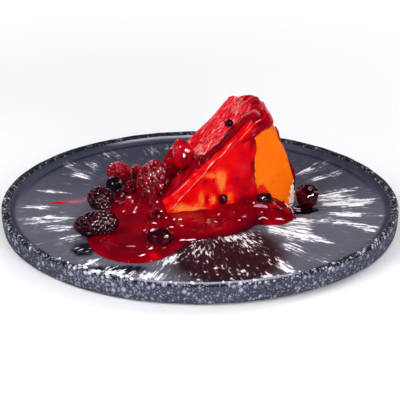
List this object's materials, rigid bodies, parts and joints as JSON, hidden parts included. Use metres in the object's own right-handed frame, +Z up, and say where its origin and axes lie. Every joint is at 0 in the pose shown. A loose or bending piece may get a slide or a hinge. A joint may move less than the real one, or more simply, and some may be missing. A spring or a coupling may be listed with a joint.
{
  "type": "basque cheesecake slice on a plate",
  "caption": "Slice of baked cheesecake lying on its cut side on a round rimmed stoneware plate, with red berry sauce over it, a pool of the sauce and whole berries.",
  "frame": {"origin": "middle of the plate's underside, on the plane that its foot ring stands on", "axes": "+Z up; +X to the right and +Y to the back when the slice is seen with its smooth base to the front"},
  "size_m": [0.27, 0.27, 0.0827],
  "materials": {
    "stoneware": "matte glazed stoneware, dark grey-violet with white brushed flecks",
    "cake": "smooth baked custard skin, golden orange, dark brown on the baked top",
    "sauce": "wet, translucent deep red sauce",
    "bramble": "shiny black-purple drupelets",
    "raspberry": "deep red drupelets wet with sauce",
    "dark_berry": "smooth red-black skin, wet",
    "currant": "translucent red skin, wet"
  },
  "bodies": {
    "root": {"plate": "stoneware", "cheesecake": "cake", "sauce_blanket": "sauce", "sauce_pool": "sauce", "bramble_front": "bramble", "bramble_back": "bramble", "raspberry_tall": "raspberry", "raspberry_left": "raspberry", "raspberry_rear": "raspberry", "raspberry_low": "raspberry", "raspberry_slope": "raspberry", "dark_berry_left": "dark_berry", "dark_berry_small": "dark_berry", "dark_berry_pool": "dark_berry", "dark_berry_right": "dark_berry", "dark_berry_rear": "dark_berry", "dark_berry_foot": "dark_berry", "currant_front": "dark_berry", "currant_top": "dark_berry", "currant_left": "currant", "currant_tip": "currant"}
  },
  "joints": []
}
